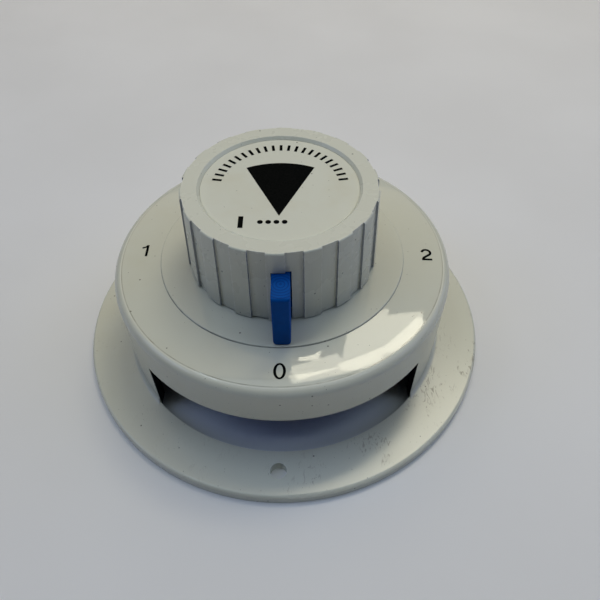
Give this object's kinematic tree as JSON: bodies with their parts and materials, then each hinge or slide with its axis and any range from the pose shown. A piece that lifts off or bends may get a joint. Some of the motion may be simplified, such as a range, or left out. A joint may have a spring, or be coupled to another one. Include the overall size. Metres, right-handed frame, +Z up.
{
  "type": "battery selector switch",
  "caption": "Surface-mounted rotary battery switch: round flanged cover with a cable slot, ribbed turning knob with a pointer fin, and screw terminals inside.",
  "frame": {"origin": "centre of the flange's underside, on the mounting surface", "axes": "+Z up out of the mounting surface along the knob's axis, -Y towards the cable slot and the 0 mark, +X towards the 2 mark"},
  "size_m": [0.15, 0.15, 0.0688],
  "materials": {
    "cream_paint": "gloss",
    "cream_knob": "gloss",
    "cream_cap": "satin",
    "blue_plastic": "satin",
    "bronze": "satin",
    "black_rubber": "matte",
    "plated_steel": "satin",
    "spring_steel": "satin",
    "nylon": "satin",
    "turned_brass": "satin",
    "phenolic": "satin",
    "copper": "satin"
  },
  "bodies": {
    "housing": {"cover_housing": "cream_paint", "spindle_bush": "bronze", "spindle_seal": "black_rubber", "detent_spring_left": "spring_steel", "detent_spring_right": "spring_steel", "contact_base": "phenolic", "fixed_contact_1": "copper", "fixed_contact_2": "copper", "common_contact": "copper", "terminal_stud_common": "turned_brass", "terminal_stud_1": "turned_brass", "terminal_stud_2": "turned_brass", "terminal_flat_washers": "turned_brass", "terminal_spring_washers": "plated_steel", "terminal_nuts": "turned_brass", "base_screws": "plated_steel", "base_screw_washers": "plated_steel"},
    "selector": {"knob_shell": "cream_knob", "knob_cap": "cream_cap", "pointer_fin": "blue_plastic", "knob_screw": "plated_steel", "knob_screw_washer": "plated_steel", "knob_slip_washer": "nylon", "spindle": "turned_brass", "drive_pin": "spring_steel", "spindle_clip": "spring_steel", "thrust_washer": "bronze", "rotor_carrier": "phenolic", "moving_contact": "copper", "pressure_springs": "spring_steel"}
  },
  "joints": [
    {"name": "selector_turn", "type": "hinge", "parent": "housing", "child": "selector", "pos_m": [0, 0, 0], "axis": [0, 0, 1], "continuous": true, "deforming": ["detent_spring_left", "detent_spring_right"]}
  ]
}
